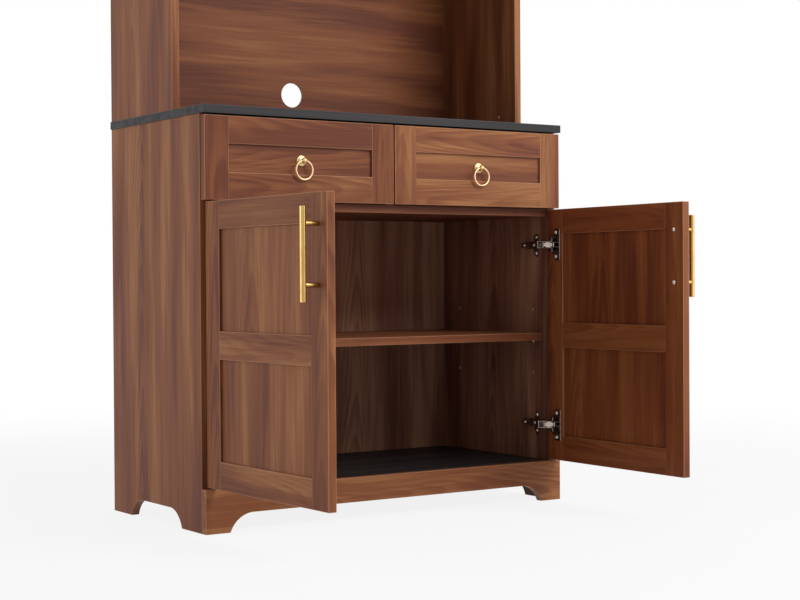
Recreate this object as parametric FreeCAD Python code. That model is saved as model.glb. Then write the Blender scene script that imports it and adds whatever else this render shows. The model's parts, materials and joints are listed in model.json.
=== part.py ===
import FreeCAD, Part
import math
import os

# A tall buffet cabinet, in millimetres. It faces -Y and stands on z = 0. The origin is on the floor,
# in the middle of the carcass's width and depth. The base doors stand open, the rest is closed.
Vec = FreeCAD.Vector
UP = Vec(0, 0, 1)
RIGHT = Vec(1, 0, 0)
FORWARD = Vec(0, -1, 0)

# Carcass
carcass_width = 795.0        # over the outer faces of the side panels
carcass_depth = 370.0        # base side panels, front edge to rear edge
hutch_depth = 264.0          # hutch side panels, flush with the base at the rear
total_height = 1800.0
board = 15.0                 # side panels, decks, partition and shelves
counter_thick = 15.0
counter_top_z = 750.0
counter_side_lip = 2.5       # counter and hutch top beyond the side panels
counter_front_lip = 2.0      # counter and hutch top beyond the fronts
back_thick = 5.0
back_inset = 4.0             # rear edge of a side panel to the rear face of the back panel
back_groove = 5.0            # depth of the grooves that hold the back panels
cable_hole_radius = 25.0
cable_hole_above = 74.0      # centre of the cable hole above the counter

# Feet, cut out of the side panels and of the apron
apron_height = 78.5
arch_height = 33.0
arch_run = 47.0              # foot's edge on the floor to where the arch runs level
apron_foot = 48.5            # width of a foot on the floor, from the front
side_foot = 79.5             # width of a foot on the floor, from the side

# Fronts
front_thick = 15.0           # doors, drawer fronts and apron
front_gap = 2.0              # closed fronts to the carcass
front_reveal = 1.0           # outer face of a side panel to the edge of a front
front_joint = 3.0            # between one front and the next
drawer_front_height = 148.0
stile_width = 48.0
rail_width = 49.0
panel_thick = 5.0
panel_groove = 6.5
panel_tongue = 6.0
tongue_clear = 0.1

# Inside the base
deck_below_drawers = 1.0     # top of the drawer deck below the drawer fronts
shelf_underside_z = 319.0
shelf_setback = 20.0         # front edge of a shelf behind the carcass's front
shelf_clear = 1.0            # shelf to the side panels and to the back panel
pin_radius = 2.5
pin_hole_clear = 0.1
pin_hole_depth = 10.0
pin_length_out = 8.0
pin_collar_radius = 4.0
pin_collar_thick = 0.9
pin_step = 64.0              # height between the holes for the shelf pins
pin_front_setback = 51.0     # front pins behind the carcass's front
pin_rear_clear = 58.0        # rear pins to the back panel

# Hutch
bay_height = 480.0           # open bay between the counter and the upper cupboard

# Bar pulls
pull_centres = 96.0
pull_length = 150.0
pull_bar_radius = 5.0
pull_reach = 29.0            # face of the door to the middle of the bar
pull_post_radius = 3.5
pull_edge_chamfer = 0.8
pull_in = 24.5               # free edge of the door to the pull
pull_from_end = 98.0         # top of a base door, or bottom of a hutch door, to the pull's middle
pull_screw_radius = 2.0
pull_screw_depth = 9.0       # length of the screw inside the post
pull_head_radius = 4.0
pull_head_thick = 2.2
screw_clear = 0.2

# Cup hinges. Plan places are counted from the closed door's edge inwards, and from the carcass's
# front plane forwards. Inside the door they are counted from its edge and from its back face.
base_door_angle = 89.0       # the base doors stand open by this much
hinge_from_end = 70.0        # end of the door to the middle of a hinge
cup_in = 22.5
cup_bore_radius = 17.5
cup_bore_depth = 12.3
cup_clear = 0.1
cup_wall = 0.8
cup_depth = 12.0
flange_radius = 19.0
flange_thick = 0.9
ear_radius = 7.0
ear_in = 5.5                 # flange screws further in than the cup's middle
ear_pitch = 48.0
cup_screw_radius = 1.75
cup_screw_length = 10.0
cup_head_radius = 3.8
cup_head_thick = 1.6
hinge_pin_radius = 1.1
hinge_pin_clear = 0.08
eye_wall = 0.9
link_bar_radius = 1.5        # half of a link's width between its eyes
layer_gap = 0.3              # between links, arm cheeks and cup lugs
inner_link_half = 3.5        # half of the inner link's height
lug_thick = 1.2              # cup lugs and arm cheeks
outer_link_thick = 1.5
arm_outer_across = 40.0      # pivot of the outer link on the arm
arm_outer_ahead = -2.1
cup_outer_in = 12.3          # pivot of the outer link in the cup
cup_outer_deep = 2.2
outer_elbow_in = 3.3         # bend of the outer link, from its pivot in the cup of a closed door
outer_elbow_deep = 5.3
outer_link_ratio = -0.353    # turn of the outer link for each degree of the door
arm_inner_across = 35.5      # pivot of the inner link on the arm
arm_inner_ahead = 9.6
cup_inner_in = 15.1          # pivot of the inner link in the cup
cup_inner_deep = 4.3
inner_link_ratio = -0.433
inner_link_lead = -2.5       # turn of the inner link when the door is closed
inner_link_play = 1.2        # room round the inner link's pin in the cup
belly_from_arm = 6.0         # taller part of the inner link, from its pivots
belly_from_cup = 7.0
plate_thick = 2.0
plate_setback = 37.0         # plate screws behind the carcass's front
plate_screw_pitch = 32.0
plate_wing_radius = 7.0
plate_half_height = 7.5
plate_front = 10.0           # plate's and arm's ends behind the carcass's front
plate_rear = 66.0
arm_rear = 72.0
arm_front = 22.0             # where the arm's neck leaves its straight part
arm_height = 13.0            # side panel to the top of the arm
arm_web = 1.2
arm_neck_radius = 2.2
arm_lift = 4.5               # side panel to the lower edge of the arm
rib_clear = 0.3
plate_screw_radius = 2.0
plate_screw_length = 11.0
plate_head_radius = 3.9
plate_head_thick = 1.6

# Drawers
box_wall = 12.0
box_height = 100.0
box_rear_clear = 33.0        # rear wall of the box to the back panel
box_above_deck = 12.0
box_bottom_thick = 4.0
box_bottom_up = 8.0          # lower edge of the box to its bottom
box_groove = 5.0
runner_space = 12.5          # side panel or partition to the drawer box
runner_height = 35.0
runner_wall = 1.2
runner_flange = 10.0
runner_clear = 0.3
runner_up = 25.0             # lower edge of the box to the runner
runner_setback = 6.0         # ends of the channel from the front plane

# Ring pulls
rosette_radius = 10.0
rosette_thick = 2.4
rosette_step_radius = 6.8
rosette_step_thick = 1.6
stem_radius = 3.6
eye_ball_radius = 5.4
eye_reach = 11.0             # face of the drawer's panel to the middle of the eye
ring_radius = 17.1           # to the middle of the wire
ring_wire_radius = 1.9
ring_play = 0.9

# Places that follow from the sizes
half_width = carcass_width / 2
inner_x = half_width - board
rear_y = carcass_depth / 2
front_y = -carcass_depth / 2
hutch_front_y = rear_y - hutch_depth
back_face_y = rear_y - back_inset - back_thick
counter_under_z = counter_top_z - counter_thick
hutch_top_under_z = total_height - board
bottom_under_z = apron_height - board
drawer_bottom_z = counter_under_z - front_joint - drawer_front_height
deck_top_z = drawer_bottom_z - deck_below_drawers
deck_under_z = deck_top_z - board
front_width = half_width - front_reveal - front_joint / 2
base_door_bottom_z = apron_height + front_joint
base_door_height = drawer_bottom_z - front_joint - base_door_bottom_z
cupboard_under_z = counter_top_z + bay_height
hutch_door_height = hutch_top_under_z - front_joint - cupboard_under_z
cupboard_shelf_z = (cupboard_under_z + board + hutch_top_under_z) / 2
fronts_reach = front_gap + front_thick
panel_face = (front_thick + panel_thick) / 2
box_rear_y = back_face_y - box_rear_clear


def block(x0, x1, y0, y1, z0, z1):
    return Part.makeBox(x1 - x0, y1 - y0, z1 - z0, Vec(x0, y0, z0))


def rod(start, direction, radius, length):
    return Part.makeCylinder(radius, length, start, direction)


def pushed(edges, shift):
    """A closed outline pushed along a vector into a solid."""
    return Part.Face(Part.Wire(edges)).extrude(shift)


def capsule(first, second, radius, shift):
    """A bar with round ends about two points, pushed along a vector."""
    along = (second - first).normalize()
    aside = shift.cross(along).normalize() * radius
    ahead = along * radius
    edges = [
        Part.LineSegment(first - aside, second - aside).toShape(),
        Part.Arc(second - aside, second + ahead, second + aside).toShape(),
        Part.LineSegment(second + aside, first + aside).toShape(),
        Part.Arc(first + aside, first - ahead, first - aside).toShape(),
    ]
    return pushed(edges, shift)


def joined(solids):
    """Touching solids made one."""
    return solids[0].fuse(solids[1:]).removeSplitter().Solids[0]


def cut(solid, tools):
    return solid.cut(tools).Solids[0]


def mirrored(solids):
    return [solid.mirror(Vec(0, 0, 0), RIGHT) for solid in solids]


def save(name, solids):
    shape = solids[0] if len(solids) == 1 else Part.makeCompound(solids)
    shape.exportStep("parts/%s.step" % name)


def save_pair(name, solids):
    """A left-hand piece and its mirror image."""
    save(name % "left", solids)
    save(name % "right", mirrored(solids))


def footed_board(place, span, height, foot, shift):
    """A board that stands on two feet, with an arch between them. Each corner of the arch is an arc that
    runs level into its top. place(u, w) turns distances along the span and up into a point."""
    near, far = foot + arch_run, span - foot - arch_run
    radius = (arch_run ** 2 + arch_height ** 2) / (2 * arch_height)
    half_run = arch_run / 2
    half_rise = arch_height - radius + math.sqrt(radius ** 2 - half_run ** 2)
    lines = [
        (place(near, arch_height), place(far, arch_height)),
        (place(span - foot, 0), place(span, 0)),
        (place(span, 0), place(span, height)),
        (place(span, height), place(0, height)),
        (place(0, height), place(0, 0)),
        (place(0, 0), place(foot, 0)),
    ]
    arcs = [
        (place(far, arch_height), place(far + half_run, half_rise), place(span - foot, 0)),
        (place(foot, 0), place(near - half_run, half_rise), place(near, arch_height)),
    ]
    edges = [Part.LineSegment(*ends).toShape() for ends in lines]
    edges += [Part.Arc(*points).toShape() for points in arcs]
    return pushed(Part.__sortEdges__(edges), shift)


# Shelf pins and their holes

def pin_places(plane_y):
    return [plane_y + pin_front_setback, back_face_y - pin_rear_clear]


def pin_holes(plane_y, shelf_z):
    """Three rows of holes in a left side panel, the middle one for the shelf's pins."""
    holes = []
    for y in pin_places(plane_y):
        for step in (-1, 0, 1):
            start = Vec(-inner_x - pin_hole_depth, y, shelf_z - pin_radius + step * pin_step)
            holes.append(rod(start, RIGHT, pin_radius + pin_hole_clear, pin_hole_depth))
    return holes


def shelf_pins(plane_y, shelf_z):
    pins = []
    for y in pin_places(plane_y):
        z = shelf_z - pin_radius
        shank = rod(Vec(-inner_x - pin_hole_depth, y, z), RIGHT, pin_radius, pin_hole_depth + pin_length_out)
        collar = rod(Vec(-inner_x, y, z), RIGHT, pin_collar_radius, pin_collar_thick)
        pins.append(joined([shank, collar]))
    return pins


def shelf(plane_y, shelf_z):
    """A loose shelf that stops short of the pins' collars."""
    reach = inner_x - shelf_clear
    return block(-reach, reach, plane_y + shelf_setback, back_face_y - shelf_clear, shelf_z, shelf_z + board)


# Hinges. All of them are drawn for a closed left door and swung to where the door stands.

def plan(plane_y, across, ahead, z=0.0):
    """Point of a hinge's plan, for a left door closed in front of plane_y."""
    return Vec(-half_width + front_reveal + across, plane_y - ahead, z)


def in_door(plane_y, inwards, deep, z=0.0):
    """Point inside the closed left door, from its edge and its back face."""
    return plan(plane_y, inwards, front_gap + deep, z)


def turned(solid, centre, degrees):
    """Turned the way a left door opens."""
    copy = solid.copy()
    copy.rotate(centre, UP, -degrees)
    return copy


def opened(solid, plane_y, angle):
    """A piece of the closed left door carried to where the open door has it."""
    cup_pivot = in_door(plane_y, cup_outer_in, cup_outer_deep)
    arm_pivot = plan(plane_y, arm_outer_across, arm_outer_ahead)
    marker = turned(Part.Vertex(cup_pivot), arm_pivot, outer_link_ratio * angle)
    copy = turned(solid, cup_pivot, angle)
    copy.translate(marker.Point - cup_pivot)
    return copy


side_across = board - front_reveal                       # side panel's inner face in a hinge's plan
cheek_inner = inner_link_half + layer_gap                # heights of the layers above a hinge's middle
cheek_outer = cheek_inner + lug_thick
link_inner = cheek_outer + layer_gap
link_outer = link_inner + outer_link_thick
eye_radius = hinge_pin_radius + hinge_pin_clear + eye_wall
cup_inner_radius = cup_bore_radius - cup_clear - cup_wall


def both_sides(make, low, high):
    """The same plate above and below a hinge's middle."""
    return [make(low, high), make(-high, -low)]


def outer_link(plane_y, z):
    """Two bent cheeks on one pin. The pin turns in the arm."""
    arm = plan(plane_y, arm_outer_across, arm_outer_ahead, z)
    cup = in_door(plane_y, cup_outer_in, cup_outer_deep, z)
    elbow = in_door(plane_y, cup_outer_in + outer_elbow_in, cup_outer_deep + outer_elbow_deep, z)

    def cheek(low, high):
        lift, rise = UP * low, UP * (high - low)
        bar = joined([capsule(arm + lift, elbow + lift, link_bar_radius, rise),
                      capsule(elbow + lift, cup + lift, link_bar_radius, rise),
                      rod(arm + lift, UP, eye_radius, high - low),
                      rod(cup + lift, UP, eye_radius, high - low)])
        return cut(bar, [rod(cup + lift, UP, hinge_pin_radius + hinge_pin_clear, high - low)])

    pin = rod(arm - UP * link_outer, UP, hinge_pin_radius, 2 * link_outer)
    return joined([pin] + both_sides(cheek, link_inner, link_outer))


def inner_link(plane_y, z):
    """One solid bar, taller between its two eyes, the cup's eye with room round its pin."""
    base = Vec(0, 0, z - inner_link_half)
    arm = plan(plane_y, arm_inner_across, arm_inner_ahead) + base
    cup = in_door(plane_y, cup_inner_in, cup_inner_deep) + base
    height = 2 * inner_link_half
    cup_hole = hinge_pin_radius + inner_link_play
    along = (cup - arm).normalize()
    taller = UP * (cheek_outer - inner_link_half)
    belly = capsule(arm + along * belly_from_arm - taller, cup - along * belly_from_cup - taller,
                    link_bar_radius, UP * (2 * cheek_outer))
    bar = joined([capsule(arm, cup, link_bar_radius, UP * height), belly, rod(arm, UP, eye_radius, height),
                  rod(cup, UP, cup_hole + eye_wall, height)])
    arm_hole = hinge_pin_radius + hinge_pin_clear
    return cut(bar, [rod(arm, UP, arm_hole, height), rod(cup, UP, cup_hole, height)])


def hinge_cup(plane_y, z):
    """Drawn cup, its flange with a straight far edge, two stub pins for the outer link, and lugs that hold
    the inner link's pin."""
    mouth = in_door(plane_y, cup_in, 0, z)
    shell = rod(mouth, FORWARD, cup_bore_radius - cup_clear, cup_depth)
    ear_middle = in_door(plane_y, cup_in + ear_in, -flange_thick, z)
    ear_reach = UP * (ear_pitch / 2)
    far_x = mouth.x + flange_radius
    half_height = ear_pitch / 2 + ear_radius
    flange = joined([
        rod(mouth - FORWARD * flange_thick, FORWARD, flange_radius, flange_thick),
        capsule(ear_middle - ear_reach, ear_middle + ear_reach, ear_radius, FORWARD * flange_thick),
        block(ear_middle.x, far_x, mouth.y, ear_middle.y, z - half_height, z + half_height),
    ])
    inside_depth = flange_thick + cup_depth - cup_wall
    inside = rod(mouth - FORWARD * flange_thick, FORWARD, cup_inner_radius, inside_depth)
    screw_holes = [
        rod(ear_middle + ear_reach * sign, FORWARD, cup_screw_radius + screw_clear, flange_thick)
        for sign in (-1, 1)
    ]
    stub = in_door(plane_y, cup_outer_in, cup_outer_deep, z)
    stubs = [
        rod(stub + UP * (link_inner - layer_gap / 2), UP, hinge_pin_radius, cup_bore_radius),
        rod(stub - UP * (link_inner - layer_gap / 2), -UP, hinge_pin_radius, cup_bore_radius),
    ]
    seat = in_door(plane_y, cup_inner_in, cup_inner_deep, z)
    floor = in_door(plane_y, cup_inner_in, cup_depth, z)

    def lug(low, high):
        return capsule(seat + UP * low, floor + UP * low, eye_radius, UP * (high - low))

    fittings = stubs + both_sides(lug, cheek_inner, cheek_outer)
    fittings.append(rod(seat - UP * cheek_outer, UP, hinge_pin_radius, 2 * cheek_outer))
    well = rod(mouth, FORWARD, cup_bore_radius - cup_clear, cup_depth)
    fittings = [fitting.common(well).Solids[0] for fitting in fittings]
    return joined([cut(joined([shell, flange]), [inside] + screw_holes)] + fittings)


def hinge_arm(plane_y, z):
    """Two cheeks under a web, with a neck that holds both links' pivots."""
    outer = plan(plane_y, arm_outer_across, arm_outer_ahead, z)
    inner = plan(plane_y, arm_inner_across, arm_inner_ahead, z)
    top = side_across + arm_height
    knee = plan(plane_y, top - arm_neck_radius, -arm_front, z)

    def cheek(low, high):
        lift, rise = UP * low, UP * (high - low)
        rear = plan(plane_y, side_across + arm_lift, -arm_rear, z + low)
        front = plan(plane_y, top, -arm_front, z + high)
        straight = block(rear.x, front.x, front.y, rear.y, rear.z, front.z)
        bar = joined([straight, capsule(knee + lift, outer + lift, arm_neck_radius, rise),
                      capsule(knee + lift, inner + lift, arm_neck_radius, rise)])
        return cut(bar, [rod(outer + lift, UP, hinge_pin_radius + hinge_pin_clear, high - low)])

    rear = plan(plane_y, top - arm_web, -arm_rear, z - cheek_outer)
    front = plan(plane_y, top, -arm_front, z + cheek_outer)
    web = block(rear.x, front.x, front.y, rear.y, rear.z, front.z)
    pin = rod(inner - UP * cheek_outer, UP, hinge_pin_radius, 2 * cheek_outer)
    return joined([web, pin] + both_sides(cheek, cheek_inner, cheek_outer))


def plate_screw_places(plane_y, z):
    reach = plate_screw_pitch / 2
    return [plan(plane_y, side_across, -plate_setback, z + sign * reach) for sign in (-1, 1)]


def hinge_plate(plane_y, z):
    """Cross-shaped plate with a rib that fills the arm."""
    low, high = plate_screw_places(plane_y, z)
    wing = capsule(low, high, plate_wing_radius, RIGHT * plate_thick)
    rear = plan(plane_y, side_across, -plate_rear, z)
    front = plan(plane_y, side_across + plate_thick, -plate_front, z)
    bar = block(rear.x, front.x, front.y, rear.y, z - plate_half_height, z + plate_half_height)
    rib_front = plan(plane_y, side_across + arm_height - arm_web, -arm_front - rib_clear, z)
    rib_half = cheek_inner - rib_clear
    rib = block(rear.x, rib_front.x, rib_front.y, rear.y, z - rib_half, z + rib_half)
    holes = [rod(place, RIGHT, plate_screw_radius + screw_clear, plate_thick) for place in (low, high)]
    return cut(joined([wing, bar, rib]), holes)


def headed_screw(seat, direction, radius, length, head_radius, head_thick):
    """A screw whose head stands on seat and whose shank goes along direction."""
    head = rod(seat - direction * head_thick, direction, head_radius, head_thick)
    return joined([head, rod(seat, direction, radius, length)])


def hinge_plate_screws(plane_y, z):
    return [
        headed_screw(place + RIGHT * plate_thick, -RIGHT, plate_screw_radius,
                     plate_thick + plate_screw_length, plate_head_radius, plate_head_thick)
        for place in plate_screw_places(plane_y, z)
    ]


def plate_pilot_holes(plane_y, heights):
    return [
        rod(place, -RIGHT, plate_screw_radius + screw_clear, plate_screw_length + screw_clear)
        for z in heights for place in plate_screw_places(plane_y, z)
    ]


# Framed fronts, for doors and drawers

def framed_front(corner, height, rail_count):
    """Stiles, rails and panels. corner is the lower back corner at the front's left edge."""
    groove_low = corner.y - panel_face - tongue_clear
    groove_high = corner.y - panel_face + panel_thick + tongue_clear
    face, back = corner.y - front_thick, corner.y
    left, right = corner.x, corner.x + front_width
    opening = [left + stile_width, right - stile_width]
    bottom, top = corner.z, corner.z + height

    def stile(x0, x1, groove_x0, groove_x1):
        bar = block(x0, x1, face, back, bottom, top)
        return cut(bar, [block(groove_x0, groove_x1, groove_low, groove_high, bottom, top)])

    stiles = [
        stile(left, opening[0], opening[0] - panel_groove, opening[0]),
        stile(opening[1], right, opening[1], opening[1] + panel_groove),
    ]
    tongue = [opening[0] - panel_tongue, opening[1] + panel_tongue]
    panel_low, panel_high = corner.y - panel_face, corner.y - panel_face + panel_thick
    pitch = (height - rail_width) / (rail_count - 1)
    rails, panels = [], []
    for index in range(rail_count):
        low = bottom + index * pitch
        high = low + rail_width
        rail = joined([block(*opening, face, back, low, high),
                       block(*tongue, panel_low, panel_high, low, high)])
        grooves = []
        if index > 0:
            grooves.append(block(*tongue, groove_low, groove_high, low, low + panel_groove))
        if index < rail_count - 1:
            grooves.append(block(*tongue, groove_low, groove_high, high - panel_groove, high))
            next_low = low + pitch
            panels.append(block(*tongue, panel_low, panel_high, high - panel_tongue, next_low + panel_tongue))
        rails.append(cut(rail, grooves))
    return stiles, rails, panels


# Doors

def pull_heights(bottom_z, height, pull_on_top):
    middle = bottom_z + (height - pull_from_end if pull_on_top else pull_from_end)
    return [middle - pull_centres / 2, middle + pull_centres / 2]


def bar_pull(plane_y, heights):
    """A round bar on two posts, each post drilled for its screw."""
    face = in_door(plane_y, front_width - pull_in, front_thick)
    middle = (heights[0] + heights[1]) / 2
    bar_start = face + FORWARD * pull_reach + UP * (middle - pull_length / 2)
    bar = rod(bar_start, UP, pull_bar_radius, pull_length)
    rims = [edge for edge in bar.Edges if edge.Curve.TypeId == "Part::GeomCircle"]
    bar = bar.makeChamfer(pull_edge_chamfer, rims)
    solids = [bar]
    for z in heights:
        post = rod(face + UP * z, FORWARD, pull_post_radius, pull_reach)
        drill = rod(face + UP * z, FORWARD, pull_screw_radius + screw_clear, pull_screw_depth + screw_clear)
        solids.append(cut(post, [bar, drill]))
    return solids


def door(plane_y, bottom_z, height, pull_on_top, angle):
    """One left-hand door with its pull, cups, screws and links, opened by angle."""
    corner = in_door(plane_y, 0, 0, bottom_z)
    stiles, rails, panels = framed_front(corner, height, 3)
    hinges = [bottom_z + hinge_from_end, bottom_z + height - hinge_from_end]
    pulls = pull_heights(bottom_z, height, pull_on_top)
    ear_seats = [
        in_door(plane_y, cup_in + ear_in, 0, z + sign * ear_pitch / 2) for z in hinges for sign in (-1, 1)
    ]
    pull_seats = [in_door(plane_y, front_width - pull_in, 0, z) for z in pulls]
    bores = [rod(in_door(plane_y, cup_in, 0, z), FORWARD, cup_bore_radius, cup_bore_depth) for z in hinges]
    pilots = [
        rod(seat, FORWARD, cup_screw_radius + screw_clear, cup_screw_length + screw_clear)
        for seat in ear_seats
    ]
    through = [rod(seat, FORWARD, pull_screw_radius + screw_clear, front_thick) for seat in pull_seats]
    stiles = [cut(stiles[0], bores + pilots), cut(stiles[1], through)]
    screws = [
        headed_screw(seat - FORWARD * flange_thick, FORWARD, cup_screw_radius,
                     flange_thick + cup_screw_length, cup_head_radius, cup_head_thick)
        for seat in ear_seats
    ]
    screws += [
        headed_screw(seat, FORWARD, pull_screw_radius, front_thick + pull_screw_depth,
                     pull_head_radius, pull_head_thick)
        for seat in pull_seats
    ]
    moving = {
        "frame": stiles + rails,
        "panels": panels,
        "pull": bar_pull(plane_y, pulls),
        "screws": screws,
        "hinge_cups": [hinge_cup(plane_y, z) for z in hinges],
    }
    pieces = {name: [opened(solid, plane_y, angle) for solid in solids] for name, solids in moving.items()}
    outer_pivot = plan(plane_y, arm_outer_across, arm_outer_ahead)
    inner_pivot = plan(plane_y, arm_inner_across, arm_inner_ahead)
    outer_turn = outer_link_ratio * angle
    inner_turn = inner_link_ratio * angle + inner_link_lead
    pieces["outer_links"] = [turned(outer_link(plane_y, z), outer_pivot, outer_turn) for z in hinges]
    pieces["inner_links"] = [turned(inner_link(plane_y, z), inner_pivot, inner_turn) for z in hinges]
    return pieces, hinges


# Drawers

def drawer_box(x0, x1):
    """Four walls and a bottom that sits in a groove all round."""
    front = front_y - front_gap
    rear = box_rear_y
    low = deck_top_z + box_above_deck
    high = low + box_height
    groove_low = low + box_bottom_up
    ends_x = [x0 + box_wall, x1 - box_wall]
    floor_x = [ends_x[0] - box_groove, ends_x[1] + box_groove]
    floor_y = [front + box_wall - box_groove, rear - box_wall + box_groove]
    bottom = block(*floor_x, *floor_y, groove_low, groove_low + box_bottom_thick)
    walls = [
        block(x0, ends_x[0], front, rear, low, high),
        block(ends_x[1], x1, front, rear, low, high),
        block(*ends_x, front, front + box_wall, low, high),
        block(*ends_x, rear - box_wall, rear, low, high),
    ]
    return [cut(wall, [bottom]) for wall in walls] + [bottom]


def channel(wall_x, side, low, height, depth, y0, y1):
    """A channel lying against wall_x, with its flanges towards side."""
    xs = sorted([wall_x, wall_x + side * depth])
    outside = block(*xs, y0, y1, low, low + height)
    hollow_xs = sorted([wall_x + side * runner_wall, wall_x + side * depth])
    return cut(outside, [block(*hollow_xs, y0, y1, low + runner_wall, low + height - runner_wall)])


def runners(wall_x, side):
    """The channel on the carcass at wall_x, and the drawer's rail inside it."""
    low = deck_top_z + box_above_deck + runner_up
    start = front_y + runner_setback
    end = box_rear_y
    fixed = channel(wall_x, side, low, runner_height, runner_flange, start, end)
    rail_low = low + runner_wall + runner_clear
    rail_height = runner_height - 2 * runner_wall - 2 * runner_clear
    rail = channel(wall_x + side * runner_space, -side, rail_low, rail_height, runner_flange, start, end)
    return fixed, rail


def ring_pull(middle_x):
    """Turned rosette with a stem and a drilled ball, and the ring that hangs in the ball."""
    seat = Vec(middle_x, front_y - front_gap - panel_face, drawer_bottom_z + drawer_front_height / 2)
    ball_middle = seat + FORWARD * eye_reach
    plate = joined([
        rod(seat, FORWARD, rosette_radius, rosette_thick),
        rod(seat + FORWARD * rosette_thick, FORWARD, rosette_step_radius, rosette_step_thick),
        rod(seat, FORWARD, stem_radius, eye_reach),
        Part.makeSphere(eye_ball_radius, ball_middle),
    ])
    eye = rod(ball_middle - RIGHT * eye_ball_radius, RIGHT, ring_wire_radius + ring_play, 2 * eye_ball_radius)
    ring = Part.makeTorus(ring_radius, ring_wire_radius, ball_middle - UP * ring_radius, FORWARD)
    return cut(plate, [eye]), ring


# Base

base_door, base_hinges = door(front_y, base_door_bottom_z, base_door_height, True, base_door_angle)
hutch_door, hutch_hinges = door(hutch_front_y, cupboard_under_z, hutch_door_height, False, 0.0)

os.makedirs("parts", exist_ok=True)
back_ys = [back_face_y, back_face_y + back_thick]
rear_groove = [-inner_x - back_groove, -inner_x, *back_ys]
base_side = footed_board(lambda u, w: Vec(-half_width, front_y + u, w), carcass_depth, counter_under_z,
                         side_foot, RIGHT * board)
base_side = cut(base_side, [block(*rear_groove, bottom_under_z, counter_under_z)]
                + pin_holes(front_y, shelf_underside_z)
                + plate_pilot_holes(front_y, base_hinges))
save_pair("base_%s_side", [base_side])

apron = footed_board(lambda u, w: Vec(u - half_width, front_y, w), carcass_width, apron_height,
                     apron_foot, FORWARD * front_thick)
save("front_apron", [apron])

between_sides = [-inner_x, inner_x]
in_grooves = [-inner_x - back_groove, inner_x + back_groove]
save("base_bottom_panel", [block(*between_sides, front_y, back_face_y, bottom_under_z, apron_height)])
save("base_back_panel", [block(*in_grooves, *back_ys, bottom_under_z, counter_under_z)])
save("drawer_deck", [block(*between_sides, front_y, back_face_y, deck_under_z, deck_top_z)])
partition_x = [-board / 2, board / 2]
save("drawer_partition", [block(*partition_x, front_y, back_face_y, deck_top_z, counter_under_z)])
save("base_shelf", [shelf(front_y, shelf_underside_z)])
lipped = [-half_width - counter_side_lip, half_width + counter_side_lip]
lip_reach = fronts_reach + counter_front_lip
save("countertop", [block(*lipped, front_y - lip_reach, rear_y, counter_under_z, counter_top_z)])

# Hutch

hutch_side = block(-half_width, -inner_x, hutch_front_y, rear_y, counter_top_z, hutch_top_under_z)
hutch_side = cut(hutch_side, [block(*rear_groove, counter_top_z, hutch_top_under_z)]
                 + pin_holes(hutch_front_y, cupboard_shelf_z)
                 + plate_pilot_holes(hutch_front_y, hutch_hinges))
save_pair("hutch_%s_side", [hutch_side])
save("hutch_top_panel", [block(*lipped, hutch_front_y - lip_reach, rear_y, hutch_top_under_z, total_height)])
cupboard_floor_zs = [cupboard_under_z, cupboard_under_z + board]
save("cupboard_floor", [block(*between_sides, hutch_front_y, back_face_y, *cupboard_floor_zs)])
save("cupboard_shelf", [shelf(hutch_front_y, cupboard_shelf_z)])
hutch_back = block(*in_grooves, *back_ys, counter_top_z, hutch_top_under_z)
cable_hole = rod(Vec(0, back_face_y + back_thick, counter_top_z + cable_hole_above), FORWARD,
                 cable_hole_radius, back_thick)
save("hutch_back_panel", [cut(hutch_back, [cable_hole])])

left_pins = shelf_pins(front_y, shelf_underside_z) + shelf_pins(hutch_front_y, cupboard_shelf_z)
save("shelf_pins", left_pins + mirrored(left_pins))

# Doors and the fixed halves of their hinges

for prefix, pieces in (("base", base_door), ("hutch", hutch_door)):
    for name, solids in pieces.items():
        save_pair(prefix + "_%s_door_" + name, solids)

hinge_places = [(front_y, z) for z in base_hinges] + [(hutch_front_y, z) for z in hutch_hinges]
left_plates = [hinge_plate(*place) for place in hinge_places]
left_arms = [hinge_arm(*place) for place in hinge_places]
left_screws = [screw for place in hinge_places for screw in hinge_plate_screws(*place)]
save("hinge_plates", left_plates + mirrored(left_plates))
save("hinge_arms", left_arms + mirrored(left_arms))
save("hinge_screws", left_screws + mirrored(left_screws))

# Drawers

front_corner = Vec(-half_width + front_reveal, front_y - front_gap, drawer_bottom_z)
stiles, rails, panels = framed_front(front_corner, drawer_front_height, 2)
save_pair("%s_drawer_front_frame", stiles + rails)
save_pair("%s_drawer_front_panel", panels)
bay_x = [-inner_x, -board / 2]
save_pair("%s_drawer_box", drawer_box(bay_x[0] + runner_space, bay_x[1] - runner_space))
outer_channel, outer_rail = runners(bay_x[0], 1)
inner_channel, inner_rail = runners(bay_x[1], -1)
save_pair("%s_drawer_runners", [outer_rail, inner_rail])
left_channels = [outer_channel, inner_channel]
save("runner_channels", left_channels + mirrored(left_channels))
for side, sign in (("left", 1), ("right", -1)):
    rosette, ring = ring_pull(sign * (front_corner.x + front_width / 2))
    save("%s_drawer_ring_plate" % side, [rosette])
    save("%s_drawer_ring" % side, [ring])
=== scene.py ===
import json
import math
import random
import bmesh
import bpy
from mathutils import Matrix, Vector


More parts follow.
